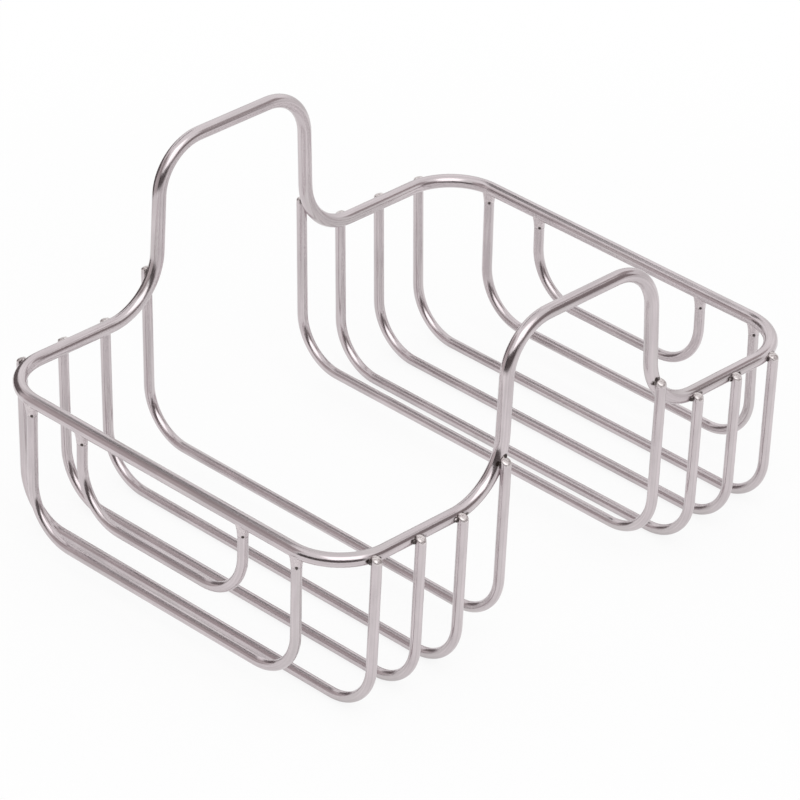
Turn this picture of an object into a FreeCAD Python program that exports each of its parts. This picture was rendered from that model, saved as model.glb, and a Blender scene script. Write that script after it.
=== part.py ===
import FreeCAD, Part
import math
import os

import Sketcher
from FreeCAD import Vector

# A sponge holder of bent and welded steel wire: two baskets on one rim that saddles a sink's divider.
# X runs along the floor wires, Y runs along the side bars from the front to the rear basket, Z is up.
# The origin is at the middle of the floor, on the underside of the floor wires.

doc = FreeCAD.newDocument("sponge_holder")

# Driving sizes in mm, each named once
DRIVING_SIZES = {
    "rim_wire": (4.0, "diameter of the rim's wire"),
    "basket_wire": (3.0, "diameter of every other wire"),
    "rim_width": (134.0, "between the centre lines of the side bars"),
    "rim_length": (177.0, "between the centre lines of the end bars"),
    "corner_radius": (16.5, "bend at the rim's corners, on the centre line"),
    "hump_height": (48.6, "from the side bar up to the top of its hump, centre lines"),
    "hump_foot_gap": (58.3, "between a hump's legs where they would meet the side bar"),
    "hump_top_gap": (54.4, "between a hump's legs where they would meet its top"),
    "foot_radius": (17.8, "bend from a side bar up into its hump"),
    "top_radius": (14.8, "bend at the top of a hump"),
    "seam_stub": (5.0, "straight run beyond each corner, up to where side and end runs meet"),
    "floor_depth": (48.4, "from the rim down to the floor wires, centre lines"),
    "rail_depth": (40.5, "from the rim down to the divider wires' rail"),
    "floor_taper": (1.5, "how much further in each leg stands at the floor than at the rim"),
    "divider_wire_stand": (0.8, "how far a divider wire stands outside the hump's foot"),
    "end_clearance": (11.75, "from an end bar to the floor wire next to it, centre lines"),
    "basket_bend": (14.8, "bend of the basket wires, on the centre line"),
    "leg_rise": (1.0, "how far a lapped leg stands above the rim's centre line where they cross"),
    "cut_bevel": (0.4, "bevel on the cut ends of the legs"),
    "outer_end_width": (103.6, "between the legs of an outer end wire"),
    "outer_end_depth": (41.1, "from the rim down to its bottom"),
    "inner_end_width": (63.0, "between the legs of an inner end wire"),
    "inner_end_depth": (26.1, "from the rim down to its bottom"),
    "set_down": (0.5, "how far a lapped leg is pressed into the rim by the weld"),
    "lap_bead_spill": (1.1, "how far the bead at a lapped leg shows beyond each flank of the leg"),
    "lap_bead_crown": (0.6, "how much taller that bead is than the leg is thick"),
    "lap_bead_depth": (3.2, "thickness of that bead across the two wires"),
    "lap_bead_drop": (0.5, "how far the bead's middle hangs below the rim's centre line"),
    "butt_bead_drop": (2.6, "how far the flare at a butted leg runs down below the rim"),
    "butt_bead_lip": (0.2, "thickness of the flare where it ends on the leg"),
}

# Sizes that follow from the driving ones
FOLLOWING_SIZES = {
    "rim_level": "=floor_depth + basket_wire / 2",
    "hump_level": "=rim_level + hump_height",
    "rail_level": "=rim_level - rail_depth",
    "side_bar": "=rim_width / 2",
    "end_bar": "=rim_length / 2",
    "corner_start": "=end_bar - corner_radius",
    "seam": "=corner_start - seam_stub",
    "foot_lean": "=atan((hump_foot_gap - hump_top_gap) / 2 / hump_height)",
    "foot_start": "=hump_foot_gap / 2 + foot_radius / tan(45 deg + foot_lean / 2)",
    "lap": "=(rim_wire + basket_wire) / 2 - set_down",
    "leg_out": "=side_bar + lap",
    "divider_wire_reach": "=hump_foot_gap / 2 + divider_wire_stand",
    "reach_1": "=end_bar - end_clearance",
    "wire_pitch": "=(reach_1 - divider_wire_reach) / 3",
    "reach_2": "=divider_wire_reach + 2 * wire_pitch",
    "reach_3": "=divider_wire_reach + wire_pitch",
    "round_corner": "=max(0; reach_1 - corner_start)",
    "corner_leg_out": "=side_bar - corner_radius + sqrt((corner_radius + lap)^2 - round_corner^2)",
    "leg_top": "=rim_level + leg_rise",
    "up_foot_bend": "=max(0; foot_start - divider_wire_reach)",
    "divider_lap_level": "=rim_level + foot_radius - sqrt(foot_radius^2 - up_foot_bend^2)",
    "divider_leg_top": "=divider_lap_level + leg_rise",
    "bead_out": "=side_bar + (rim_wire - set_down) / 2",
    "bead_on_corner": "=(corner_radius + (rim_wire - set_down) / 2) / (corner_radius + lap)",
    "lap_bead_length": "=basket_wire + 2 * lap_bead_spill",
    "lap_bead_height": "=basket_wire + lap_bead_crown",
    "lap_bead_level": "=rim_level - lap_bead_drop",
    "divider_bead_level": "=divider_lap_level - lap_bead_drop",
    "butt_bead_level": "=rim_level - rim_wire / 2 - butt_bead_drop",
}

size = doc.addObject("Spreadsheet::Sheet", "size")
for row, (name, (number, meaning)) in enumerate(DRIVING_SIZES.items(), start=1):
    size.set(f"A{row}", meaning)
    size.set(f"B{row}", str(number))
    size.setAlias(f"B{row}", name)
for row, (name, formula) in enumerate(FOLLOWING_SIZES.items(), start=1):
    size.set(f"D{row}", formula)
    size.setAlias(f"D{row}", name)
doc.recompute()


def measured(expression):
    """The number that an expression on the sheet gives now."""
    result = size.evalExpression(expression)
    return float(getattr(result, "Value", result))


# Sketches and bent wires

def origin_plane(body, role):
    """The body's own origin plane with this role, such as XZ_Plane."""
    return next(plane for plane in body.Origin.OriginFeatures if plane.Role == role)


def new_sketch(body, name, role, offset):
    """A sketch on an origin plane of the body, moved along that plane's normal by the offset."""
    sketch = body.newObject("Sketcher::SketchObject", name)
    sketch.AttachmentSupport = (origin_plane(body, role), [""])
    sketch.MapMode = "FlatFace"
    sketch.setExpression("AttachmentOffset.Base.z", offset)
    return sketch


def pin_point(sketch, shape, end, label, across, along):
    """Hold one end of a shape at two coordinates that the sheet drives."""
    for kind, axis, expression in (("DistanceX", "x", across), ("DistanceY", "y", along)):
        held = sketch.addConstraint(Sketcher.Constraint(kind, -1, 1, shape, end, measured(expression)))
        sketch.renameConstraint(held, f"{label}_{axis}")
        sketch.setExpression(f"Constraints.{label}_{axis}", expression)


def bend_between(before, corner, after, radius):
    """Start, middle and end of the arc that rounds a corner, and whether it turns to the left."""
    back = (before - corner).normalize()
    ahead = (after - corner).normalize()
    half_angle = back.getAngle(ahead) / 2
    reach = radius / math.tan(half_angle)
    centre = corner + (back + ahead).normalize() * (radius / math.sin(half_angle))
    middle = centre + (corner - centre).normalize() * radius
    turns_left = ahead.cross(back).z > 0
    return corner + back * reach, middle, corner + ahead * reach, turns_left


def draw_path(sketch, corners, radii):
    """Straight runs through the corners, joined by tangent arcs, as a wire bender makes them."""
    points = [Vector(measured(across), measured(along), 0) for across, along in corners]
    bends = []
    for place, radius in enumerate(radii, start=1):
        bends.append(bend_between(points[place - 1], points[place], points[place + 1], measured(radius)))

    run_ends = [points[0]]
    for start, middle, end, turns_left in bends:
        run_ends += [start, end]
    run_ends.append(points[-1])
    runs = []
    for start, end in zip(run_ends[0::2], run_ends[1::2]):
        runs.append(sketch.addGeometry(Part.LineSegment(start, end), False))

    for place, (start, middle, end, turns_left) in enumerate(bends):
        arc = sketch.addGeometry(Part.Arc(start, middle, end), False)
        first, last = (1, 2) if turns_left else (2, 1)
        corner = sketch.addGeometry(Part.Point(points[place + 1]), True)
        sketch.addConstraint(Sketcher.Constraint("Tangent", runs[place], 2, arc, first))
        sketch.addConstraint(Sketcher.Constraint("Tangent", arc, last, runs[place + 1], 1))
        sketch.addConstraint(Sketcher.Constraint("PointOnObject", corner, 1, runs[place]))
        sketch.addConstraint(Sketcher.Constraint("PointOnObject", corner, 1, runs[place + 1]))
        bend = sketch.addConstraint(Sketcher.Constraint("Radius", arc, measured(radii[place])))
        sketch.renameConstraint(bend, f"bend_{place + 1}")
        sketch.setExpression(f"Constraints.bend_{place + 1}", radii[place])
        pin_point(sketch, corner, 1, f"corner_{place + 1}", *corners[place + 1])
    pin_point(sketch, runs[0], 1, "start", *corners[0])
    pin_point(sketch, runs[-1], 2, "finish", *corners[-1])


def draw_round(sketch, across, along, diameter):
    """The wire's round section."""
    middle = Vector(measured(across), measured(along), 0)
    circle = Part.Circle(middle, Vector(0, 0, 1), measured(diameter) / 2)
    section = sketch.addGeometry(circle, False)
    held = sketch.addConstraint(Sketcher.Constraint("Diameter", section, measured(diameter)))
    sketch.renameConstraint(held, "wire")
    sketch.setExpression("Constraints.wire", diameter)
    pin_point(sketch, section, 3, "middle", across, along)


def feed_wire(body, name, section, path):
    """Sweep the round section along the path."""
    doc.recompute()
    wire = body.newObject("PartDesign::AdditivePipe", name)
    wire.Profile = section
    wire.Spine = (path, [f"Edge{number}" for number in range(1, len(path.Shape.Edges) + 1)])
    wire.Mode = "Standard"
    wire.Transition = "Transformed"
    body.Tip = wire
    doc.recompute()
    return wire


def mirror_run(body, name, run, role):
    """The same run on the other side of one of the body's origin planes."""
    copy = body.newObject("PartDesign::Mirrored", name)
    copy.Originals = [run]
    copy.MirrorPlane = (origin_plane(body, role), [""])
    body.Tip = copy
    doc.recompute()
    return copy


# The rim: one closed loop, drawn as a side run with its hump and an end run with its two corners

def make_rim():
    rim = doc.addObject("PartDesign::Body", "rim")
    rim.Label = "rim"
    side_path = new_sketch(rim, "side_path", "YZ_Plane", "size.side_bar")
    side_corners = [
        ("-size.seam", "size.rim_level"),
        ("-size.hump_foot_gap / 2", "size.rim_level"),
        ("-size.hump_top_gap / 2", "size.hump_level"),
        ("size.hump_top_gap / 2", "size.hump_level"),
        ("size.hump_foot_gap / 2", "size.rim_level"),
        ("size.seam", "size.rim_level"),
    ]
    hump_bends = ["size.foot_radius", "size.top_radius", "size.top_radius", "size.foot_radius"]
    draw_path(side_path, side_corners, hump_bends)
    side_section = new_sketch(rim, "side_section", "XZ_Plane", "size.seam")
    draw_round(side_section, "size.side_bar", "size.rim_level", "size.rim_wire")
    side_run = feed_wire(rim, "side_run", side_section, side_path)

    end_path = new_sketch(rim, "end_path", "XY_Plane", "size.rim_level")
    end_corners = [
        ("size.side_bar", "-size.seam"),
        ("size.side_bar", "-size.end_bar"),
        ("-size.side_bar", "-size.end_bar"),
        ("-size.side_bar", "-size.seam"),
    ]
    draw_path(end_path, end_corners, ["size.corner_radius", "size.corner_radius"])
    end_section = new_sketch(rim, "end_section", "XZ_Plane", "size.seam")
    draw_round(end_section, "size.side_bar", "size.rim_level", "size.rim_wire")
    end_run = feed_wire(rim, "end_run", end_section, end_path)

    mirror_run(rim, "other_side_run", side_run, "YZ_Plane")
    mirror_run(rim, "other_end_run", end_run, "XZ_Plane")
    return rim


# Basket wires: each is bent to a U in its own plane, then seated on the rim

def bevel_cut_ends(body, wire):
    """Break the sharp edge of both cut ends, which are the only flat faces of a bent wire."""
    ends = []
    for number, face in enumerate(wire.Shape.Faces, start=1):
        if isinstance(face.Surface, Part.Plane):
            ends.append(f"Face{number}")
    bevel = body.newObject("PartDesign::Chamfer", "cut_ends")
    bevel.Base = (wire, ends)
    bevel.setExpression("Size", "size.cut_bevel")
    body.Tip = bevel


def bend_u_wire(name, half_width, bottom_half_width, top, bottom, reach):
    """A U in the XZ plane of its own body, which is then moved along Y to its place on the rim."""
    body = doc.addObject("PartDesign::Body", f"{name}_bent")
    path = new_sketch(body, "path", "XZ_Plane", "0")
    draw_path(path, [("0", bottom), (bottom_half_width, bottom), (half_width, top)], ["size.basket_bend"])
    section = new_sketch(body, "section", "YZ_Plane", "0")
    draw_round(section, "0", bottom, "size.basket_wire")
    half = feed_wire(body, "half", section, path)
    whole = mirror_run(body, "whole", half, "YZ_Plane")
    body.setExpression("Placement.Base.y", reach)
    return body, whole


def seat_on_rim(name, body, rim):
    """Take away what the weld pressed together, so that the wire fits the rim's round exactly."""
    seated = doc.addObject("Part::Cut", name)
    seated.Label = name
    seated.Base = body
    seated.Tool = rim
    return seated


def make_lapped_wire(name, rim, leg_out, top, bottom, reach):
    bottom_leg_out = f"({leg_out} - size.floor_taper)"
    body, wire = bend_u_wire(name, leg_out, bottom_leg_out, top, bottom, reach)
    bevel_cut_ends(body, wire)
    return seat_on_rim(name, body, rim)


def make_butted_wire(name, rim, width, depth, reach):
    half_width = f"{width} / 2"
    bottom = f"size.rim_level - {depth}"
    body, wire = bend_u_wire(name, half_width, half_width, "size.rim_level", bottom, reach)
    return seat_on_rim(name, body, rim)


# Welds: plain beads, cut to fill only the space beside the wires

def lap_bead(name, out, along, level):
    """A flattened ball in the crevice between a side bar and a lapped leg."""
    bead = doc.addObject("Part::Ellipsoid", name)
    bead.setExpression("Radius1", "size.lap_bead_height / 2")
    bead.setExpression("Radius2", "size.lap_bead_depth / 2")
    bead.setExpression("Radius3", "size.lap_bead_length / 2")
    bead.setExpression("Placement.Base.x", out)
    bead.setExpression("Placement.Base.y", along)
    bead.setExpression("Placement.Base.z", level)
    return bead


def butt_bead(name, out, along):
    """A flare that widens from the leg to the full thickness of the end bar."""
    bead = doc.addObject("Part::Cone", name)
    bead.setExpression("Radius1", "size.basket_wire / 2 + size.butt_bead_lip")
    bead.setExpression("Radius2", "size.rim_wire / 2")
    bead.setExpression("Height", "size.butt_bead_drop + size.rim_wire / 4")
    bead.setExpression("Placement.Base.x", out)
    bead.setExpression("Placement.Base.y", along)
    bead.setExpression("Placement.Base.z", "size.butt_bead_level")
    return bead


def weld_group(name, beads, wires):
    """A group of separate beads without the space that the wires fill."""
    raw = doc.addObject("Part::Compound", f"{name}_raw")
    raw.Links = beads
    joined = doc.addObject("Part::Compound", f"{name}_joined")
    joined.Links = wires
    group = doc.addObject("Part::Cut", name)
    group.Label = name
    group.Base = raw
    group.Tool = joined
    return group


def make_lap_welds(name, side, end, rim, wires):
    """Beads at one side bar of one basket; side and end are the signs of X and Y there."""
    corner_out = "(size.side_bar - size.corner_radius)"
    corner_bead_out = f"{corner_out} + (size.corner_leg_out - {corner_out}) * size.bead_on_corner"
    corner_bead_along = "size.reach_1 - size.round_corner * (1 - size.bead_on_corner)"
    places = [
        (corner_bead_out, corner_bead_along, "size.lap_bead_level"),
        ("size.bead_out", "size.reach_2", "size.lap_bead_level"),
        ("size.bead_out", "size.reach_3", "size.lap_bead_level"),
        ("size.bead_out", "size.divider_wire_reach", "size.divider_bead_level"),
    ]
    beads = []
    for number, (out, along, level) in enumerate(places, start=1):
        beads.append(lap_bead(f"{name}_bead_{number}", f"{side} * ({out})", f"{end} * ({along})", level))
    return weld_group(name, beads, [rim, *wires])


def make_butt_welds(name, width, end, rim, wire):
    beads = []
    for number, side in enumerate((-1, 1), start=1):
        beads.append(butt_bead(f"{name}_bead_{number}", f"{side} * {width} / 2", f"{end} * size.end_bar"))
    return weld_group(name, beads, [rim, wire])


def make_basket(basket, end, rim):
    """Six wires and their welds; end is -1 for the front basket and 1 for the rear one."""
    lapped = []
    floor_level = "size.basket_wire / 2"
    for number in (1, 2, 3):
        name = f"{basket}_floor_wire_{number}"
        leg_out = "size.corner_leg_out" if number == 1 else "size.leg_out"
        reach = f"{end} * size.reach_{number}"
        lapped.append(make_lapped_wire(name, rim, leg_out, "size.leg_top", floor_level, reach))
    rail = make_lapped_wire(f"{basket}_divider_wire", rim, "size.leg_out", "size.divider_leg_top",
                            "size.rail_level", f"{end} * size.divider_wire_reach")
    lapped.append(rail)
    pieces = list(lapped)
    for side_name, side in (("left", -1), ("right", 1)):
        pieces.append(make_lap_welds(f"{basket}_{side_name}_lap_welds", side, end, rim, lapped))
    for nest in ("outer", "inner"):
        width = f"size.{nest}_end_width"
        depth = f"size.{nest}_end_depth"
        wire = make_butted_wire(f"{basket}_{nest}_end_wire", rim, width, depth, f"{end} * size.end_bar")
        pieces += [wire, make_butt_welds(f"{basket}_{nest}_end_welds", width, end, rim, wire)]
    return pieces


rim = make_rim()
pieces = [rim, *make_basket("front", -1, rim), *make_basket("rear", 1, rim)]
doc.recompute()

# Check every object, then write one file for each piece
for item in doc.Objects:
    if "Invalid" in item.State or "Error" in item.State:
        raise RuntimeError(f"{item.Name} did not build: {item.State}")

os.makedirs("parts", exist_ok=True)
for piece in pieces:
    if piece.Shape.isNull() or not piece.Shape.isValid():
        raise RuntimeError(f"{piece.Label} has no valid shape")
    piece.Shape.exportStep(f"parts/{piece.Label}.step")
    print(piece.Label, len(piece.Shape.Solids), "solids", round(piece.Shape.Volume, 1), "mm3")
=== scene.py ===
# %% [markdown]
# # A sponge holder of bent and welded wire
# The real object is thirteen round steel wires, bent cold and welded together: a thick rim with a hump in
# each long side, and six thinner wires in each of its two baskets. Nothing on it moves. This lesson bends
# every wire again as a clean mesh, welds it, gives it the satin finish of drawn steel, and lights it as a
# small studio would. The measured solids are loaded first, because every piece has to sit where they are.

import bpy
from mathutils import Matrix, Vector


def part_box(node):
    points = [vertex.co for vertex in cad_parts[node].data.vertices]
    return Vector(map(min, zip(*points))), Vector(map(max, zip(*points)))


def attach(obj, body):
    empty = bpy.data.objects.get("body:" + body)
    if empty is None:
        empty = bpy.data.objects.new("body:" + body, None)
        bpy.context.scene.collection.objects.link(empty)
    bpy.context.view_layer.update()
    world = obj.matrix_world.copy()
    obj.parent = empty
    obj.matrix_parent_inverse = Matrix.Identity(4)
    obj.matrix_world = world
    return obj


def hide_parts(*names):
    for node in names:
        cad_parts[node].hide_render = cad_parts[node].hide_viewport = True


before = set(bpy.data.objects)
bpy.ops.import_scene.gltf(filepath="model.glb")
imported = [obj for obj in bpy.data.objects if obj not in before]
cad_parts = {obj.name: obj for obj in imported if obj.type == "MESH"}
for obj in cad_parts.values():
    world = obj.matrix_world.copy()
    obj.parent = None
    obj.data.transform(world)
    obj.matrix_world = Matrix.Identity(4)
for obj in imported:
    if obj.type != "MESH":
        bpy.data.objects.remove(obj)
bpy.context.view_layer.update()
print("measured solids:", len(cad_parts))

# %% [markdown]
# ## Sizes
# The solids were drawn in millimetres and the scene is in metres, so every size is multiplied by MM once.
# X runs along the floor wires, Y along the side bars, and Z is up from the underside of the floor wires.
# All lengths are between the wires' centre lines, because that is how a wire bender reads a drawing. A bend
# takes up wire on both sides of its corner, so each straight run is what is left between two bends.

# %% Sizes of the two wires and of the rim
import math

import bmesh
import bpy
from mathutils import Matrix, Vector, kdtree, noise

MM = 0.001
RIM_WIRE = 4.0 * MM
BASKET_WIRE = 3.0 * MM

RIM_WIDTH = 134.0 * MM
RIM_LENGTH = 177.0 * MM
CORNER_RADIUS = 16.5 * MM
FLOOR_DEPTH = 48.4 * MM
SIDE_BAR = RIM_WIDTH / 2
END_BAR = RIM_LENGTH / 2
FLOOR_LEVEL = BASKET_WIRE / 2
RIM_LEVEL = FLOOR_LEVEL + FLOOR_DEPTH

HUMP_HEIGHT = 48.6 * MM
HUMP_FOOT_GAP = 58.3 * MM
HUMP_TOP_GAP = 54.4 * MM
HUMP_FOOT = HUMP_FOOT_GAP / 2
HUMP_TOP = HUMP_TOP_GAP / 2
FOOT_RADIUS = 17.8 * MM
TOP_RADIUS = 14.8 * MM
UP = Vector((0, 0, 1))

print("rim wire", RIM_WIRE / MM, "mm, basket wire", BASKET_WIRE / MM, "mm")

# %% Sizes of the rim's bends and runs
lean = math.atan2(HUMP_FOOT - HUMP_TOP, HUMP_HEIGHT)
hump_turn = math.radians(90) - lean
foot_takes = FOOT_RADIUS * math.tan(hump_turn / 2)
top_takes = TOP_RADIUS * math.tan(hump_turn / 2)
hump_leg = HUMP_HEIGHT / math.cos(lean) - foot_takes - top_takes
corner_start = END_BAR - CORNER_RADIUS
side_run = corner_start - HUMP_FOOT - foot_takes
half_end_run = SIDE_BAR - CORNER_RADIUS
print("a hump's leg is straight for", round(hump_leg / MM, 1), "mm")

# %% Places of the basket wires
PRESSED_IN = 0.5 * MM
LEG_RISE = 1.0 * MM
LEG_TAPER = 1.5 * MM
END_CLEARANCE = 11.75 * MM
DIVIDER_STAND = 0.8 * MM
RAIL_DEPTH = 40.5 * MM
RAIL_LEVEL = RIM_LEVEL - RAIL_DEPTH
OUTER_END_WIDTH = 103.6 * MM
OUTER_END_DEPTH = 41.1 * MM
INNER_END_WIDTH = 63.0 * MM
INNER_END_DEPTH = 26.1 * MM
INSIDE_BAR = RIM_LEVEL - RIM_WIRE / 4

lap = (RIM_WIRE + BASKET_WIRE) / 2 - PRESSED_IN
leg_out = SIDE_BAR + lap
divider_reach = HUMP_FOOT + DIVIDER_STAND
outer_reach = END_BAR - END_CLEARANCE
pitch = (outer_reach - divider_reach) / 3
reaches = [outer_reach, outer_reach - pitch, outer_reach - 2 * pitch]

past_corner_start = outer_reach - corner_start
corner_leg_out = half_end_run + math.sqrt((CORNER_RADIUS + lap) ** 2 - past_corner_start ** 2)
up_foot_bend = HUMP_FOOT + foot_takes - divider_reach
divider_crossing = RIM_LEVEL + FOOT_RADIUS - math.sqrt(FOOT_RADIUS ** 2 - up_foot_bend ** 2)
print("side-to-side wires every", round(pitch / MM, 2), "mm")

# %% [markdown]
# ## Places of the welds
# The welds are settled before the wires are bent, because they mark the wires: the steel is stained brown
# in the crevices on both sides of a lapped leg, and the stain is darkened further there as painted shade in
# the crevice. Where the weld of a butted leg ends there are two small pits, which are not cut into the mesh
# but painted on as dark spots of heat stain and shade. A weld sits where two wires touch, so its place
# follows from the same sizes. All marks go into a search tree, which tells how far any point of a wire is
# from the nearest one.

# %% Places of the welds
BEAD_DROP = 0.15 * MM
CREVICE = BASKET_WIRE / 2 + 0.3 * MM
CREVICE_REACH = 1.1 * MM
FLARE_HEIGHT = 2.6 * MM
FLARE_BOTTOM = RIM_LEVEL - RIM_WIRE / 2 - FLARE_HEIGHT
PIT_RISE = 0.4 * MM
PIT_LEVEL = FLARE_BOTTOM + PIT_RISE
PIT_ASIDE = BASKET_WIRE / 2 * math.sqrt(0.5)
PIT_REACH = 0.5 * MM

bead_out = SIDE_BAR + (RIM_WIRE - PRESSED_IN) / 2
bead_level = RIM_LEVEL - BEAD_DROP
round_corner = (CORNER_RADIUS + (RIM_WIRE - PRESSED_IN) / 2) / (CORNER_RADIUS + lap)
corner_out = half_end_run + (corner_leg_out - half_end_run) * round_corner
corner_along = corner_start + past_corner_start * round_corner
divider_slope = math.asin(up_foot_bend / FOOT_RADIUS)
lap_places = [
    (corner_out, corner_along, bead_level, 0),
    (bead_out, reaches[1], bead_level, 0),
    (bead_out, reaches[2], bead_level, 0),
    (bead_out, divider_reach, divider_crossing - BEAD_DROP, divider_slope),
]

marks = []
for side in (-1, 1):
    for end in (-1, 1):
        for out, along, level, _ in lap_places:
            for beside in (-CREVICE, CREVICE):
                marks.append((Vector((side * out, end * along + beside, level)), CREVICE_REACH))
        # the pits by the butt welds are not cut into the mesh but painted on as dark spots of heat stain
        # and shade
        for width in (OUTER_END_WIDTH, INNER_END_WIDTH):
            for beside in (-PIT_ASIDE, PIT_ASIDE):
                pit = Vector((side * width / 2 + beside, end * END_BAR - beside, PIT_LEVEL))
                marks.append((pit, PIT_REACH))
mark_finder = kdtree.KDTree(len(marks))
for number, (place, _) in enumerate(marks):
    mark_finder.insert(place, number)
mark_finder.balance()


def stain_and_shade_at(point):
    """How strongly the nearest weld has marked the steel here, from 0 to 1: heat stain, and painted shade
    in the crevices and pits.
    """
    _, number, distance = mark_finder.find(point)
    return math.exp(-(distance / marks[number][1]) ** 2)


print("marks beside welds:", len(marks))

# %% [markdown]
# ## A bending machine in mesh form
# A wire could be a curve with a round bevel, but then its mesh has no record of how it was drawn. Here a
# ring of edges is fed forward by extruding it and turned round a roller by spinning it, as the machine
# does with the wire. Each new ring notes how much wire has been fed, so the mesh also knows every point's
# place on the straight wire, before any bend. The drawn finish is painted in those coordinates later,
# which lets its fine lines run along the wire and follow each bend.

# %% The bending machine
SECTION_SIDES = 32
FEED_STEP = 1.2 * MM
BEND_STEP = math.radians(5)
CUT_ROUNDING = 0.75 * MM
ROUNDING_STEPS = 5
CUT_SHOWS = 1.4 * MM
END_SLOPE = 0.35
SLOPED_LENGTH = 6 * MM
DENT_SIZE = 1.3 * MM
DENT_DEPTH = 0.15 * MM
SAME_PLACE = 0.001 * MM


class BentWire:
    """A round wire that is fed straight ahead and bent round rollers."""

    def __init__(self, diameter, start, heading, closed=False):
        self.mesh = bmesh.new()
        self.on_corners = self.mesh.loops.layers.float_vector.new("straight")
        self.on_rings = self.mesh.verts.layers.float_vector.new("straight_on_rings")
        # how much heat stain and painted crevice and pit shade each point gets from the nearest weld
        self.stain_and_shade = self.mesh.verts.layers.float.new("stain_and_shade")
        self.cut = self.mesh.verts.layers.float.new("cut")
        self.radius = diameter / 2
        self.at = Vector(start)
        self.heading = Vector(heading).normalized()
        self.fed = 0.0
        first_radius = self.radius if closed else self.radius - CUT_ROUNDING
        facing = self.heading.to_track_quat("Z", "X").to_matrix().to_4x4()
        bmesh.ops.create_circle(self.mesh, segments=SECTION_SIDES, radius=first_radius,
                                cap_ends=not closed, matrix=Matrix.Translation(self.at) @ facing)
        to_section = facing.to_3x3().inverted()
        for vert in self.mesh.verts:
            vert[self.on_rings] = to_section @ (vert.co - self.at) * (self.radius / first_radius)
        self.ring = self.mesh.edges[:]
        if not closed:
            self.round_off(opening=True)

    def take_ring(self, grown, distance):
        """Work on from the newest ring, and note on it how much wire has been fed."""
        self.fed += distance
        verts = {part for part in grown if isinstance(part, bmesh.types.BMVert)}
        edges = [part for part in grown if isinstance(part, bmesh.types.BMEdge)]
        self.ring = [edge for edge in edges if verts.issuperset(edge.verts)]
        for vert in verts:
            across, upward, _ = vert[self.on_rings]
            vert[self.on_rings] = (across, upward, self.fed)
        return list(verts)

    def push(self, length):
        """Push the wire straight ahead by one ring."""
        grown = bmesh.ops.extrude_edge_only(self.mesh, edges=self.ring)["geom"]
        verts = self.take_ring(grown, length)
        bmesh.ops.translate(self.mesh, vec=self.heading * length, verts=verts)
        self.at = self.at + self.heading * length
        return verts

    def feed(self, length):
        """Push the wire straight ahead in short steps, so that burnt marks can vary along it."""
        steps = max(1, round(length / FEED_STEP))
        for _ in range(steps):
            self.push(length / steps)

    def bend(self, radius, angle, axis):
        """Turn the wire by an angle about an axis, round a roller of this radius."""
        centre = self.at + axis.cross(self.heading) * radius
        steps = max(1, round(angle / BEND_STEP))
        for _ in range(steps):
            spun = bmesh.ops.spin(self.mesh, geom=self.ring, cent=centre, axis=axis, dvec=(0, 0, 0),
                                  angle=angle / steps, steps=1, use_duplicate=False)
            self.take_ring(spun["geom_last"], radius * angle / steps)
        turn = Matrix.Rotation(angle, 3, axis)
        self.at = centre + turn @ (self.at - centre)
        self.heading = turn @ self.heading

    def round_off(self, opening):
        """Round the edge of a cut end: wider ring by ring at the start, narrower at the end."""
        angles = [math.radians(90) * step / ROUNDING_STEPS for step in range(ROUNDING_STEPS + 1)]
        if opening:
            angles.reverse()
        for before, after in zip(angles, angles[1:]):
            length = CUT_ROUNDING * abs(math.sin(after) - math.sin(before))
            narrow_before = self.radius - CUT_ROUNDING * (1 - math.cos(before))
            narrow_after = self.radius - CUT_ROUNDING * (1 - math.cos(after))
            verts = self.push(length)
            bmesh.ops.scale(self.mesh, vec=(narrow_after / narrow_before,) * 3,
                            space=Matrix.Translation(-self.at), verts=verts)

    def cut_off(self):
        """Cut the wire here and close its end."""
        self.round_off(opening=False)
        bmesh.ops.edgeloop_fill(self.mesh, edges=self.ring)

    def from_end(self, vert):
        """How far along the wire a point is from the nearer cut end."""
        along = vert[self.on_rings].z
        return min(along, self.fed - along)

    def trim_ends(self, leg_middle):
        """Let both cut ends fall away outwards from the bar beside them, and dent them a little."""
        bmesh.ops.recalc_face_normals(self.mesh, faces=self.mesh.faces[:])
        self.mesh.normal_update()
        for vert in self.mesh.verts:
            share = 1 - self.from_end(vert) / SLOPED_LENGTH
            if share > 0:
                vert[self.cut] = max(0, 1 - self.from_end(vert) / CUT_SHOWS)
                vert.co.z -= END_SLOPE * (abs(vert.co.x) - leg_middle) * share
                dent = 1 + noise.noise(vert.co / DENT_SIZE)
                vert.co -= vert.normal * DENT_DEPTH * dent * vert[self.cut]

    def finished_mesh(self):
        """Note the marks, move the rings' notes to the faces' corners, and close the seam."""
        # heat stain and painted crevice and pit shade from the nearest weld
        for vert in self.mesh.verts:
            vert[self.stain_and_shade] = stain_and_shade_at(vert.co)
        for face in self.mesh.faces:
            for corner in face.loops:
                corner[self.on_corners] = corner.vert[self.on_rings]
        self.mesh.verts.layers.float_vector.remove(self.on_rings)
        bmesh.ops.remove_doubles(self.mesh, verts=self.mesh.verts[:], dist=SAME_PLACE)
        bmesh.ops.recalc_face_normals(self.mesh, faces=self.mesh.faces[:])
        return self.mesh


print("a wire has", SECTION_SIDES, "faces round it and a ring every", round(FEED_STEP / MM, 1), "mm")

# %% [markdown]
# ## From a mesh to a piece
# Every mesh is handed over in the same way. Its place is in its points and the object stays at the origin,
# as with the measured solids. It rides on the root body, its name carries the name of the solid it stands
# for, and that solid is hidden. A second helper compares the box of a piece with the box of its solid,
# because a wrong bend shows up there first.

# %% Helpers for pieces
def make_piece(mesh, name, node):
    """Turn a mesh into a piece that rides on the frame and stands for one of its solids."""
    for face in mesh.faces:
        face.smooth = True
    data = bpy.data.meshes.new(name)
    mesh.to_mesh(data)
    mesh.free()
    piece = bpy.data.objects.new(name, data)
    bpy.context.scene.collection.objects.link(piece)
    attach(piece, "root")
    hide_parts(node)
    return piece


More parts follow.
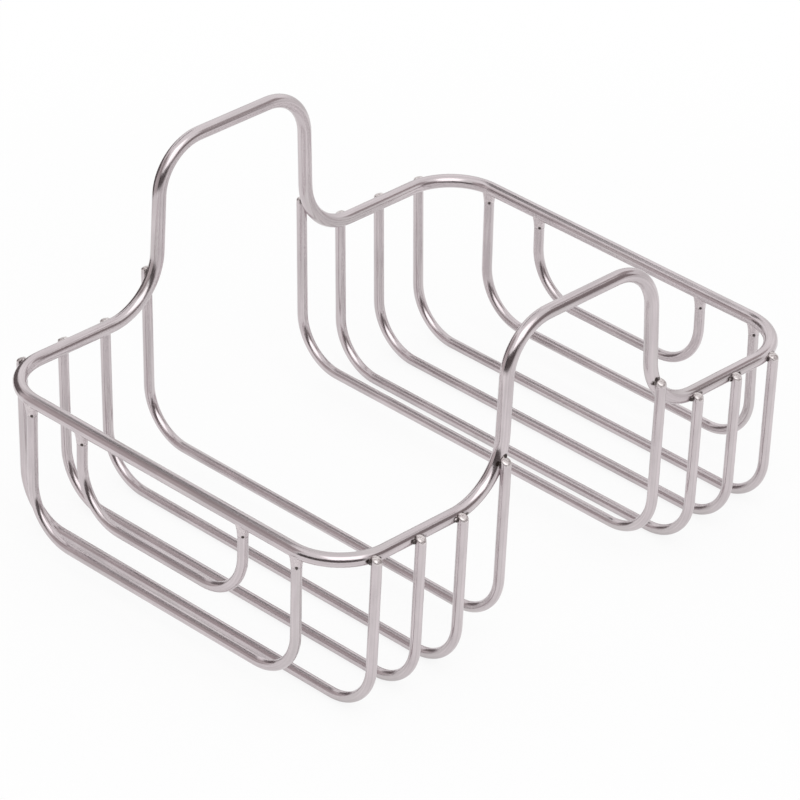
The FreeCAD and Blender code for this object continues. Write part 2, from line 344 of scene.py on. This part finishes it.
def box_error(piece, node):
    """The largest distance in millimetres between a piece's box and the box of the solid it stands for."""
    lows_and_highs = zip(*[(vert.co.x, vert.co.y, vert.co.z) for vert in piece.data.vertices])
    errors = []
    for values, low, high in zip(lows_and_highs, *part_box(node)):
        errors += [abs(min(values) - low), abs(max(values) - high)]
    return max(errors) / MM


# %% [markdown]
# ## The rim
# The rim is one closed loop of the thicker wire. From the middle of the front end bar the wire goes round
# a corner, along a side bar, up and over the hump, along the side bar again and round the next corner. The
# other half is the same run once more, so two passes of one loop close the rim exactly.

# %% Bend the rim
steel_pieces = []


def bend_rim():
    """The closed loop, in two equal halves that each start in the middle of an end bar."""
    wire = BentWire(RIM_WIRE, start=(0, -END_BAR, RIM_LEVEL), heading=(1, 0, 0), closed=True)
    for _ in range(2):
        wire.feed(half_end_run)
        wire.bend(CORNER_RADIUS, math.radians(90), UP)
        outward = wire.heading.cross(UP)
        wire.feed(side_run)
        wire.bend(FOOT_RADIUS, hump_turn, outward)
        wire.feed(hump_leg)
        wire.bend(TOP_RADIUS, hump_turn, -outward)
        wire.feed(2 * (HUMP_TOP - top_takes))
        wire.bend(TOP_RADIUS, hump_turn, -outward)
        wire.feed(hump_leg)
        wire.bend(FOOT_RADIUS, hump_turn, outward)
        wire.feed(side_run)
        wire.bend(CORNER_RADIUS, math.radians(90), UP)
        wire.feed(half_end_run)
    return make_piece(wire.finished_mesh(), "bent_rim", "rim")


rim = bend_rim()
steel_pieces.append(rim)
print("rim is off its solid by", round(box_error(rim, "rim"), 3), "mm")

# %% [markdown]
# ## The basket wires
# Every other wire is a U: down one leg, round a bend, across, round a second bend and up the other leg.
# The legs of the side-to-side wires lean in a little towards the floor and end beside the rim with a cut
# face. The wires of the two ends hang straight down, and their tops stop inside the bar that they are
# welded to. One function bends them all, because they differ only in a few sizes.

# %% A wire bent to a U
BASKET_BEND = 14.8 * MM
TOWARDS_FRONT = Vector((0, -1, 0))


def bend_basket_wire(node, along, out, top, bottom, taper=0.0):
    """A U whose legs start this far out on both sides and, where they are lapped, lean in by the taper."""
    down = Vector((taper, 0, bottom - top))
    turn = math.radians(90) - math.atan2(taper, top - bottom)
    bend_takes = BASKET_BEND * math.tan(turn / 2)
    leg_run = down.length - bend_takes - CUT_ROUNDING
    wire = BentWire(BASKET_WIRE, start=(-out, along, top), heading=down)
    wire.feed(leg_run)
    wire.bend(BASKET_BEND, turn, TOWARDS_FRONT)
    wire.feed(2 * (out - taper - bend_takes))
    wire.bend(BASKET_BEND, turn, TOWARDS_FRONT)
    wire.feed(leg_run)
    wire.cut_off()
    if taper:
        wire.trim_ends(out)
    steel_pieces.append(make_piece(wire.finished_mesh(), f"bent_{node}", node))


print("basket wires are bent to a radius of", round(BASKET_BEND / MM, 1), "mm")

# %% Bend all the basket wires
for basket, end in (("front", -1), ("rear", 1)):
    for number, reach in enumerate(reaches, start=1):
        out = corner_leg_out if number == 1 else leg_out
        bend_basket_wire(f"{basket}_floor_wire_{number}", end * reach, out,
                         RIM_LEVEL + LEG_RISE, FLOOR_LEVEL, LEG_TAPER)
    bend_basket_wire(f"{basket}_divider_wire", end * divider_reach, leg_out,
                     divider_crossing + LEG_RISE, RAIL_LEVEL, LEG_TAPER)
    bend_basket_wire(f"{basket}_outer_end_wire", end * END_BAR, OUTER_END_WIDTH / 2,
                     INSIDE_BAR, RIM_LEVEL - OUTER_END_DEPTH)
    bend_basket_wire(f"{basket}_inner_end_wire", end * END_BAR, INNER_END_WIDTH / 2,
                     INSIDE_BAR, RIM_LEVEL - INNER_END_DEPTH)

for piece in steel_pieces[1:]:
    node = piece.name.removeprefix("bent_")
    print(node, "is off its solid by", round(box_error(piece, node), 3), "mm")

# %% [markdown]
# ## The lap welds
# Where a leg lies against a side bar, two electrodes press the wires together and a current melts the
# crevice between them. What shows is a small rough nugget on each side of the leg. A smooth ball would
# look glued on, so a fine ball is squashed into the crevice and then pushed in and out by noise, with a
# different piece of the noise for every weld.

# %% Make the lap welds
BEAD_LENGTH = 4.6 * MM
BEAD_HEIGHT = 2.4 * MM
BEAD_DEPTH = 1.9 * MM
BEAD_FINENESS = 5
BEAD_LUMPS = 0.3 * MM
BEAD_GRAINS = 0.1 * MM
BEAD_SEEDS = Vector((7.3, 3.1, 5.7))
LUMP_SIZE = 1.2 * MM
GRAIN_SIZE = 0.45 * MM
lap_weld_pieces = []


def roughen(verts, middle, seed, lumps, grains):
    """Push points out from a weld's middle line by coarse lumps and fine grains of noise."""
    for vert in verts:
        out = vert.co - middle
        coarse = noise.noise(vert.co / LUMP_SIZE + seed)
        fine = noise.noise(vert.co / GRAIN_SIZE + seed)
        vert.co += out.normalized() * (lumps * coarse + grains * fine)


def lap_bead(mesh, place, slope, seed):
    """A rough nugget that lies along a bar which rises at this slope."""
    size = Matrix.Diagonal((BEAD_DEPTH / 2, BEAD_LENGTH / 2, BEAD_HEIGHT / 2, 1))
    laid = Matrix.Translation(place) @ Matrix.Rotation(slope, 4, "X") @ size
    ball = bmesh.ops.create_icosphere(mesh, subdivisions=BEAD_FINENESS, radius=1, matrix=laid)
    roughen(ball["verts"], place, seed, BEAD_LUMPS, BEAD_GRAINS)


for basket, end in (("front", -1), ("rear", 1)):
    for side_name, side in (("left", -1), ("right", 1)):
        node = f"{basket}_{side_name}_lap_welds"
        mesh = bmesh.new()
        for number, (out, along, level, slope) in enumerate(lap_places):
            seed = Vector((number, end, side)) * BEAD_SEEDS
            lap_bead(mesh, Vector((side * out, end * along, level)), -end * slope, seed)
        lap_weld_pieces.append(make_piece(mesh, f"rough_{node}", node))

print("lap welds:", len(lap_weld_pieces), "groups of", len(lap_places))

# %% [markdown]
# ## The butt welds
# The tops of the end wires are welded end-on to the underside of a bar. The melted metal runs into a
# concave flare, and the edge of the melt leaves a shallow ring on the leg and two pits, which are painted
# on as near-black spots of heat stain and of the shade inside them. A ring of edges is extruded upwards and
# widened: along the bar in a quarter circle, across it in a straight slope that ends flush with the bar's
# face.

# %% Make the butt welds
FLARE_TOP = RIM_LEVEL - 0.4 * MM
FLARE_ALONG_BAR = 2.2 * MM
FLARE_ACROSS_BAR = 0.38 * MM
FLARE_LIP = 0.05 * MM
FLARE_SIDES = 48
FLARE_STEPS = 14
FLARE_LUMPS = 0.04 * MM
FLARE_GRAINS = 0.01 * MM
FLARE_SEEDS = Vector((4.7, 6.1, 1.0))
butt_weld_pieces = []


def butt_flare(mesh, stain_and_shade, place, seed):
    """A flare that grows out of a leg and runs into the bar above it, with its heat stain and painted pit
    shade noted.
    """
    lip = BASKET_WIRE / 2 + FLARE_LIP
    disc = bmesh.ops.create_circle(mesh, segments=FLARE_SIDES, radius=lip, cap_ends=True,
                                   matrix=Matrix.Translation((place.x, place.y, FLARE_BOTTOM)))
    verts = disc["verts"]
    ring = list({edge for vert in verts for edge in vert.link_edges})
    made = list(verts)
    rise = (FLARE_TOP - FLARE_BOTTOM) / FLARE_STEPS
    along, across = lip, lip
    for step in range(1, FLARE_STEPS + 1):
        risen = step / FLARE_STEPS
        next_along = lip + FLARE_ALONG_BAR * (1 - math.sqrt(1 - risen ** 2))
        next_across = lip + FLARE_ACROSS_BAR * risen
        grown = bmesh.ops.extrude_edge_only(mesh, edges=ring)["geom"]
        verts = [part for part in grown if isinstance(part, bmesh.types.BMVert)]
        ring = [part for part in grown if isinstance(part, bmesh.types.BMEdge)
                and set(verts).issuperset(part.verts)]
        bmesh.ops.translate(mesh, vec=(0, 0, rise), verts=verts)
        bmesh.ops.scale(mesh, vec=(next_along / along, next_across / across, 1),
                        space=Matrix.Translation(-place), verts=verts)
        along, across = next_along, next_across
        made += verts
    bmesh.ops.edgeloop_fill(mesh, edges=ring)
    for vert in made:
        middle = Vector((place.x, place.y, vert.co.z))
        roughen([vert], middle, seed, FLARE_LUMPS, FLARE_GRAINS)
        # the flare also gets the heat stain and the pits' painted shade
        vert[stain_and_shade] = stain_and_shade_at(vert.co)


for basket, end in (("front", -1), ("rear", 1)):
    for nest, width in (("outer", OUTER_END_WIDTH), ("inner", INNER_END_WIDTH)):
        node = f"{basket}_{nest}_end_welds"
        mesh = bmesh.new()
        stain_and_shade = mesh.verts.layers.float.new("stain_and_shade")
        for side in (-1, 1):
            seed = Vector((side, end, width / MM)) * FLARE_SEEDS
            butt_flare(mesh, stain_and_shade, Vector((side * width / 2, end * END_BAR, RIM_LEVEL)), seed)
        bmesh.ops.recalc_face_normals(mesh, faces=mesh.faces[:])
        butt_weld_pieces.append(make_piece(mesh, f"flared_{node}", node))

print("butt welds:", len(butt_weld_pieces), "groups of 2")

# %% [markdown]
# ## Shader maths that reads like arithmetic
# Node trees get long when every sum is a node that is placed by hand. One small class wraps a socket, so
# that an expression such as 1 - streaks adds the Math nodes by itself, and one method adds any other node.

# %% A socket that can be calculated with
class Shade:
    """A socket of a material's node tree."""

    def __init__(self, tree, socket=None):
        self.tree = tree
        self.socket = socket

    def node(self, kind, settings, inputs, output=0):
        """Add a node: its settings first, then a value or a link for each input."""
        made = self.tree.nodes.new(kind)
        for name, setting in settings.items():
            setattr(made, name, setting)
        for name, given in inputs.items():
            if isinstance(given, Shade):
                self.tree.links.new(given.socket, made.inputs[name])
            else:
                made.inputs[name].default_value = given
        return Shade(self.tree, made.outputs[output])

    def maths(self, operation, first, second):
        """A Math node on two values."""
        return self.node("ShaderNodeMath", {"operation": operation}, {0: first, 1: second})

    def __add__(self, other):
        return self.maths("ADD", self, other)

    def __radd__(self, other):
        return self.maths("ADD", other, self)

    def __sub__(self, other):
        return self.maths("SUBTRACT", self, other)

    def __rsub__(self, other):
        return self.maths("SUBTRACT", other, self)

    def __mul__(self, other):
        return self.maths("MULTIPLY", self, other)

    def __rmul__(self, other):
        return self.maths("MULTIPLY", other, self)

    def stretched(self, scale):
        """This vector with each of its axes multiplied by a number."""
        return self.node("ShaderNodeVectorMath", {"operation": "MULTIPLY"}, {0: self, 1: scale})

    def noise(self, detail, roughness=0.5):
        """Noise from 0 to 1 at the place that this vector gives."""
        return self.node("ShaderNodeTexNoise", {"noise_dimensions": "3D"},
                         {"Vector": self, "Scale": 1.0, "Detail": detail, "Roughness": roughness})

    def between(self, low, high):
        """0 below the low value, 1 above the high one, and a smooth step from one to the other."""
        return self.node("ShaderNodeMapRange", {"interpolation_type": "SMOOTHSTEP", "clamp": True},
                         {"Value": self, "From Min": low, "From Max": high, "To Min": 0.0, "To Max": 1.0})

    def colours(self, dark, light):
        """A colour that goes from dark to light as this value goes from 0 to 1."""
        return self.node("ShaderNodeMix", {"data_type": "RGBA"}, {0: self, 6: dark, 7: light}, output=2)


print("values of a material can be added, subtracted and multiplied")

# %% Helpers for finishes
def new_finish(name):
    """An empty material, its shader and a place to start expressions from."""
    finish = bpy.data.materials.new(name)
    finish.use_nodes = True
    shader = finish.node_tree.nodes["Principled BSDF"]
    return finish, shader, Shade(finish.node_tree)


def feed_shader(shader, start, **sockets):
    """Link values to a shader's inputs; an underscore in a name stands for a space."""
    for name, value in sockets.items():
        start.tree.links.new(value.socket, shader.inputs[name.replace("_", " ")])


# %% [markdown]
# ## Drawn stainless wire
# The wire was pulled through a die, which leaves fine lines along it and a satin shine. The lines are noise
# in the coordinates of the straight wire: very short steps around the section and long ones along the wire.
# They vary the colour and the roughness, and they raise a slight bump. A second, broad noise makes some
# stretches duller, as handling and polishing do, and a third makes some cooler in colour. The notes on the
# mesh do the rest: the cut ends are bare and smoked, and the steel beside a weld is painted near black,
# which is its heat stain together with painted shade in the crevices beside lapped legs and in the pits by
# butted ones.

# %% The drawn steel
BRIGHT_STEEL = (0.700, 0.631, 0.651, 1)
DULL_STEEL = (0.500, 0.450, 0.463, 1)
COOL_STEEL = (0.570, 0.540, 0.535, 1)
FRESH_STEEL = (0.760, 0.710, 0.705, 1)
SMOKED_STEEL = (0.470, 0.420, 0.415, 1)
# near black: heat stain, and painted shade in the weld crevices and pits
STAINED_AND_SHADED_STEEL = (0.050, 0.036, 0.033, 1)
LINE_WIDTH = 0.35 * MM
LINE_LENGTH = 45 * MM
PATCH_WIDTH = 3 * MM
PATCH_LENGTH = 14 * MM
TINT_LENGTH = 30 * MM
STAIN_SIZE = 0.9 * MM
LINE_SHARE = 0.6
TINT_SHARE = 0.45
LINE_STRENGTH = 0.12
LINE_DEPTH = 0.02 * MM
DULL_ROUGHNESS = 0.25
SMOOTHER_WHERE_WORN = 0.10
ROUGHER_WHERE_CUT = 0.2
ROUGHER_WHERE_STAINED_AND_SHADED = 0.2


def drawn_steel():
    """Lines and patches on the wire, bare metal on its cut ends, and near-black marks beside the welds:
    heat stain and painted crevice and pit shade.
    """
    finish, shader, start = new_finish("drawn_steel")
    straight = start.node("ShaderNodeAttribute", {"attribute_name": "straight"}, {}, output=1)
    drawn_out = straight.stretched((1 / LINE_WIDTH, 1 / LINE_WIDTH, 1 / LINE_LENGTH))
    lines = drawn_out.noise(detail=3, roughness=0.6)
    patches = straight.stretched((1 / PATCH_WIDTH, 1 / PATCH_WIDTH, 1 / PATCH_LENGTH)).noise(detail=2)
    tints = straight.stretched((1 / PATCH_WIDTH, 1 / PATCH_WIDTH, 1 / TINT_LENGTH)).noise(detail=1)
    wear = LINE_SHARE * lines.between(0.25, 0.75) + (1 - LINE_SHARE) * patches.between(0.3, 0.7)
    worn = wear.colours(DULL_STEEL, BRIGHT_STEEL)
    drawn = (TINT_SHARE * tints.between(0.45, 0.75)).colours(worn, COOL_STEEL)
    stains = straight.stretched((1 / STAIN_SIZE,) * 3).noise(detail=2)
    cut = start.node("ShaderNodeAttribute", {"attribute_name": "cut"}, {}, output=2)
    trimmed = cut.between(0.1, 0.7)
    cut_face = stains.between(0.38, 0.52).colours(SMOKED_STEEL, FRESH_STEEL)
    # near-black weld marks: heat stain, and painted shade in the crevices beside lapped legs and in the
    # butt weld pits
    stain_and_shade = start.node("ShaderNodeAttribute", {"attribute_name": "stain_and_shade"}, {}, output=2)
    stained_and_shaded = (stain_and_shade * (0.4 + 1.2 * stains)).between(0.3, 0.7)
    shader.inputs["Metallic"].default_value = 1.0
    roughness = (DULL_ROUGHNESS - SMOOTHER_WHERE_WORN * wear
                 + ROUGHER_WHERE_CUT * trimmed + ROUGHER_WHERE_STAINED_AND_SHADED * stained_and_shaded)
    bump = start.node("ShaderNodeBump", {},
                      {"Strength": LINE_STRENGTH, "Distance": LINE_DEPTH, "Height": lines})
    feed_shader(shader, start, Base_Color=stained_and_shaded.colours(trimmed.colours(drawn, cut_face), STAINED_AND_SHADED_STEEL),
                Roughness=roughness, Normal=bump)
    return finish


steel = drawn_steel()
for piece in steel_pieces:
    piece.data.materials.append(steel)
print("drawn steel on", len(steel_pieces), "wires")

# %% [markdown]
# ## Weld metal
# The welds were melted and never polished, so they are mottled: bright specks of bare metal, grey grains,
# and brown to nearly black patches of scale in the hollows. Two sizes of noise decide between these, and
# the scale is also rougher and less metallic than the specks. Near the crevices and pits the weld marks
# turn the metal to scale as well, which is partly painted shade. The butt welds were cleaned better, so
# they take the same finish with far less scale.

# %% The weld metal
SPECK_COLOUR = (0.720, 0.660, 0.660, 1)
SCALE_COLOUR = (0.055, 0.042, 0.040, 1)
ROUGH_GRAIN = (0.400, 0.350, 0.350, 1)
CLEAN_GRAIN = (0.630, 0.570, 0.585, 1)
SCALE_PATCH = 1.1 * MM
SCALE_EDGE = 0.08
SPECK_SIZE = 0.5 * MM
SPECK_STRENGTH = 0.4
SPECK_DEPTH = 0.06 * MM
SMOOTHER_WHERE_BRIGHT = 0.2
SCALE_METALLIC = 0.6


def weld_metal(name, grain_colour, grain_roughness, scale_below):
    """Grains with bright specks, and scale where the broad noise is below a value and in the weld marks,
    which add painted crevice and pit shade.
    """
    finish, shader, start = new_finish(name)
    place = start.node("ShaderNodeTexCoord", {}, {}, output=3)
    patches = place.stretched((1 / SCALE_PATCH,) * 3).noise(detail=3, roughness=0.6)
    specks = place.stretched((1 / SPECK_SIZE,) * 3).noise(detail=2)
    # the weld marks add the dark scale colour: heat stain, and painted shade in the crevices and pits
    stain_and_shade = start.node("ShaderNodeAttribute", {"attribute_name": "stain_and_shade"}, {}, output=2)
    clear_of_scale = patches.between(scale_below - SCALE_EDGE, scale_below + SCALE_EDGE)
    bare = clear_of_scale * (1 - stain_and_shade.between(0.3, 0.6))
    bright = specks.between(0.5, 0.68) * bare
    grain = bare.colours(SCALE_COLOUR, grain_colour)
    bump = start.node("ShaderNodeBump", {},
                      {"Strength": SPECK_STRENGTH, "Distance": SPECK_DEPTH, "Height": specks})
    feed_shader(shader, start, Base_Color=bright.colours(grain, SPECK_COLOUR),
                Roughness=grain_roughness - SMOOTHER_WHERE_BRIGHT * bright,
                Metallic=SCALE_METALLIC + (1 - SCALE_METALLIC) * bare, Normal=bump)
    return finish


rough_weld = weld_metal("rough_weld", ROUGH_GRAIN, grain_roughness=0.5, scale_below=0.55)
clean_weld = weld_metal("clean_weld", CLEAN_GRAIN, grain_roughness=0.36, scale_below=0.2)
for piece in lap_weld_pieces:
    piece.data.materials.append(rough_weld)
for piece in butt_weld_pieces:
    piece.data.materials.append(clean_weld)
print("weld metal on", len(lap_weld_pieces + butt_weld_pieces), "groups of welds")

# %% [markdown]
# ## The studio
# Bare metal shows whatever stands around it, so the room matters as much as the finish. The holder stands
# on white paper in a bright room. Rays from the camera and from mirrors mostly see the paper at full
# white, and a part of its shading is left so that the holder keeps a faint shadow, which fades out towards
# the edge of the paper.

# %% White paper
WHITE = (1.00, 1.00, 1.00, 1)
PAPER_WHITE = (0.85, 0.85, 0.85, 1)
PAPER_ROUGHNESS = 0.9
PAPER_RADIUS = 0.34
PAPER_SIDES = 96
SHADOW_RADIUS = PAPER_RADIUS / 2
SHADOW_SEEN = 0.15
SHADOW_MIRRORED = 0.6
MIRROR_RAYS = ("Is Glossy Ray", "Is Transmission Ray")
VIEW_AZIMUTH = math.radians(44.516)
towards_camera = Vector((math.sin(VIEW_AZIMUTH), -math.cos(VIEW_AZIMUTH), 0))
towards_right = Vector((math.cos(VIEW_AZIMUTH), math.sin(VIEW_AZIMUTH), 0))


def ray_is(start, *kinds):
    """1 for rays of these kinds and 0 for all others."""
    path = start.tree.nodes.new("ShaderNodeLightPath")
    total = Shade(start.tree, path.outputs[kinds[0]])
    for kind in kinds[1:]:
        total = total + Shade(start.tree, path.outputs[kind])
    return total.between(0.0, 1.0)


def white_paper():
    """Paper that glows white for the camera and for mirrors, less so where the holder's shadow falls."""
    finish, shader, start = new_finish("white_paper")
    shader.inputs["Base Color"].default_value = PAPER_WHITE
    shader.inputs["Roughness"].default_value = PAPER_ROUGHNESS
    place = start.node("ShaderNodeTexCoord", {}, {}, output=3)
    from_middle = start.node("ShaderNodeVectorMath", {"operation": "LENGTH"}, {0: place}, output=1)
    inside = 1 - from_middle.between(SHADOW_RADIUS, PAPER_RADIUS)
    white = start.node("ShaderNodeEmission", {}, {"Color": WHITE, "Strength": 1.0})
    paper = Shade(start.tree, shader.outputs[0])
    seen = (ray_is(start, "Is Camera Ray") * (1 - SHADOW_SEEN * inside)
            + ray_is(start, *MIRROR_RAYS) * (1 - SHADOW_MIRRORED * inside))
    mixed = start.node("ShaderNodeMixShader", {}, {0: seen, 1: paper, 2: white})
    start.tree.links.new(mixed.socket, start.tree.nodes["Material Output"].inputs["Surface"])
    return finish


def stage_object(mesh, name, finish):
    """Turn a mesh into a thing of the studio, which isn't a piece of the holder."""
    data = bpy.data.meshes.new(name)
    mesh.to_mesh(data)
    mesh.free()
    made = bpy.data.objects.new(name, data)
    bpy.context.scene.collection.objects.link(made)
    data.materials.append(finish)
    return made


mesh = bmesh.new()
bmesh.ops.create_circle(mesh, segments=PAPER_SIDES, radius=PAPER_RADIUS, cap_ends=True)
stage_object(mesh, "paper", white_paper())
print("paper is", 2 * PAPER_RADIUS, "m across")

# %% [markdown]
# Dark lines along a shiny bar are pictures of dark things. As beside silverware in a studio, a few cards
# stand round the holder where only mirror rays find them. A long dark one hangs high on the left and draws
# a thin line along every bar that runs sideways. A row of grey ones at the front, the lightest on the left
# and darker ones above, shades those bars, the rim more than the floor wires and the front more than the
# rear. The dark ones on the left, ahead and below the camera are there for the bends and corners, and the
# grey ones on the right and behind for the bars that run lengthwise. Each card is given by the two places
# on the floor between which it stands, its lower and upper edge, and its brightness.

# %% Cards round the holder
WARMTH = 0.2
CARDS = {
    "high": ((-1.00, 0.72), (-1.00, -0.40), 1.10, 1.45, 0.05),
    "left": ((-0.27, 0.05), (-0.22, -0.17), 0.00, 0.16, 0.11),
    "front_left": ((-0.34, -0.05), (-0.22, -0.16), 0.02, 0.30, 0.78),
    "front_middle_low": ((-0.22, -0.16), (-0.18, -0.19), 0.02, 0.20, 0.66),
    "front_middle_high": ((-0.22, -0.16), (-0.18, -0.19), 0.20, 0.35, 0.25),
    "front_right_low": ((-0.18, -0.19), (-0.05, -0.31), 0.02, 0.15, 0.52),
    "front_right_high": ((-0.18, -0.19), (-0.05, -0.31), 0.15, 0.35, 0.37),
    "ahead": ((-0.10, -0.50), (0.10, -0.55), 0.00, 0.27, 0.04),
    "camera": ((0.10, -0.55), (0.60, -0.10), 0.00, 0.27, 0.08),
    "right": ((0.34, -0.05), (0.19, 0.21), 0.08, 0.27, 0.23),
    "behind": ((0.19, 0.21), (0.05, 0.35), 0.20, 0.42, 0.38),
}


def card_finish(name, brightness):
    """A card that keeps one brightness whatever the lamp does; the darker it is, the warmer its grey."""
    finish, shader, _ = new_finish(name)
    red = brightness * (1 + WARMTH * (1 - brightness))
    shader.inputs["Base Color"].default_value = (0, 0, 0, 1)
    shader.inputs["Specular IOR Level"].default_value = 0.0
    shader.inputs["Emission Color"].default_value = (red, brightness, brightness, 1)
    shader.inputs["Emission Strength"].default_value = 1.0
    return finish


def upright_card(name, from_place, to_place, low, high, brightness):
    """A sheet that stands on the line between two places on the floor, from one height to another."""
    run = Vector((*to_place, 0)) - Vector((*from_place, 0))
    middle = (Vector((*from_place, low)) + Vector((*to_place, high))) / 2
    turn = Matrix.Rotation(math.atan2(run.y, run.x), 4, "Z") @ Matrix.Rotation(math.radians(90), 4, "X")
    mesh = bmesh.new()
    bmesh.ops.create_grid(mesh, x_segments=1, y_segments=1, size=0.5)
    bmesh.ops.scale(mesh, vec=(run.length, high - low, 1), verts=mesh.verts)
    bmesh.ops.transform(mesh, matrix=Matrix.Translation(middle) @ turn, verts=mesh.verts)
    card = stage_object(mesh, f"{name}_card", card_finish(f"{name}_card", brightness))
    card.visible_camera = False
    card.visible_diffuse = False
    card.visible_shadow = False


for name, sizes in CARDS.items():
    upright_card(name, *sizes)
print("cards:", ", ".join(CARDS))

# %% [markdown]
# One large lamp above the camera and a little to its right gives the shadow its soft edge. A small lamp
# would draw a hard line under every wire. Most of the light comes from the room itself, which is white
# above and slightly grey towards the floor, and which the camera sees as plain white.

# %% Soft lamp and bright room
LAMP_SIZE = 1.1
LAMP_DISTANCE = 1.3
LAMP_ELEVATION = math.radians(50)
LAMP_TURN = math.radians(12)
LAMP_WATTS = 3.6
ROOM_LOW = (0.80, 0.79, 0.79, 1)
GREY_BELOW = -0.1
WHITE_ABOVE = 0.5

lamp = bpy.data.objects.new("soft_lamp", bpy.data.lights.new("soft_lamp", "AREA"))
lamp.data.shape = "SQUARE"
lamp.data.size = LAMP_SIZE
lamp.data.energy = LAMP_WATTS
level = towards_camera * math.cos(LAMP_TURN) + towards_right * math.sin(LAMP_TURN)
lamp_direction = level * math.cos(LAMP_ELEVATION) + UP * math.sin(LAMP_ELEVATION)
lamp.location = UP * RIM_LEVEL + lamp_direction * LAMP_DISTANCE
lamp.rotation_euler = lamp_direction.to_track_quat("Z", "Y").to_euler()
lamp.visible_camera = False
bpy.context.scene.collection.objects.link(lamp)

room = bpy.data.worlds.new("bright_room")
room.use_nodes = True
bpy.context.scene.world = room
start = Shade(room.node_tree)
direction = start.node("ShaderNodeTexCoord", {}, {}, output=0)
height = start.node("ShaderNodeSeparateXYZ", {}, {0: direction}, output=2)
shade_of_room = height.between(GREY_BELOW, WHITE_ABOVE).colours(ROOM_LOW, WHITE)
seen = ray_is(start, "Is Camera Ray").colours(shade_of_room, WHITE)
background = room.node_tree.nodes["Background"]
room.node_tree.links.new(seen.socket, background.inputs["Color"])
background.inputs["Strength"].default_value = 1.0
print("lamp at", [round(n, 2) for n in lamp.location])

# %% [markdown]
# ## The camera
# The photograph was taken with a long lens from the front right, about 31 degrees above the rim, with the
# camera tipped by a degree and a half. These values were found by fitting the wires' centre lines to the
# photograph, and the aim is given as steps to the right and down from the middle of the rim.

# %% Place the camera
VIEW_ELEVATION = math.radians(30.912)
VIEW_TIP = math.radians(1.454)
VIEW_DISTANCE = 1.473
AIM_RIGHT = 0.61 * MM
AIM_DOWN = 11.26 * MM
LENS = 241.1
SENSOR_WIDTH = 36
FARTHEST_SEEN = 100

backward = towards_camera * math.cos(VIEW_ELEVATION) + UP * math.sin(VIEW_ELEVATION)
upward = backward.cross(towards_right)
aim = UP * RIM_LEVEL + towards_right * AIM_RIGHT - upward * AIM_DOWN
facing = Matrix((towards_right, upward, backward)).transposed().to_4x4()
camera = bpy.data.objects.new("camera", bpy.data.cameras.new("camera"))
camera.data.sensor_width = SENSOR_WIDTH
camera.data.lens = LENS
camera.data.clip_end = FARTHEST_SEEN
camera.matrix_world = (Matrix.Translation(aim + backward * VIEW_DISTANCE) @ facing
                       @ Matrix.Rotation(VIEW_TIP, 4, "Z"))
bpy.context.scene.collection.objects.link(camera)
bpy.context.scene.camera = camera
bpy.context.scene.view_settings.view_transform = "Standard"
print("camera at", [round(n, 3) for n in camera.location])
